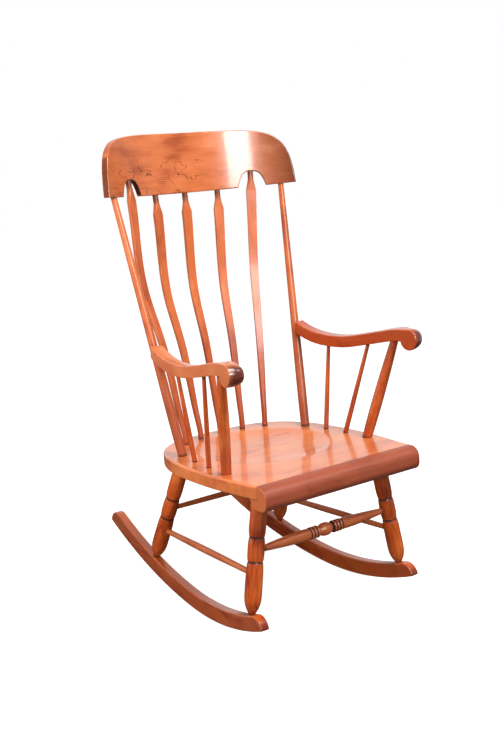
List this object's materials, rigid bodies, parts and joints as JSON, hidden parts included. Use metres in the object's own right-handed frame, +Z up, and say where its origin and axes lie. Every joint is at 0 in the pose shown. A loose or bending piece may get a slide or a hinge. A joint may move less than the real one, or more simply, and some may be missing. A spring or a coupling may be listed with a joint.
{
  "type": "rocking chair",
  "caption": "Wooden rocking chair with flattened arrow spindles under a curved crest rail, rolled arms, a dished seat, turned legs and curved rockers.",
  "frame": {"origin": "middle of the bottom of the chair's box, at rest on a level floor", "axes": "+Z up, the sitter faces -Y, +X to the right as seen from the front"},
  "size_m": [0.5632, 0.7426, 1.0996],
  "materials": {
    "boards": "gloss",
    "turnings": "gloss"
  },
  "bodies": {
    "root": {"crest_rail": "boards", "arm_left": "boards", "arm_right": "boards", "seat": "boards", "seat_front_roll": "boards", "rocker_left": "boards", "rocker_right": "boards", "back_post_left": "turnings", "back_post_right": "turnings", "arrow_spindle_1": "turnings", "arrow_spindle_2": "turnings", "arrow_spindle_3": "turnings", "arrow_spindle_4": "turnings", "arrow_spindle_5": "turnings", "arm_spindle_front_left": "turnings", "arm_spindle_front_right": "turnings", "arm_spindle_rear_left": "turnings", "arm_spindle_rear_right": "turnings", "arm_post_left": "turnings", "arm_post_right": "turnings", "leg_front_left": "turnings", "leg_front_right": "turnings", "leg_rear_left": "turnings", "leg_rear_right": "turnings", "stretcher_front": "turnings", "stretcher_left": "turnings", "stretcher_right": "turnings", "stretcher_back": "turnings"}
  },
  "joints": []
}
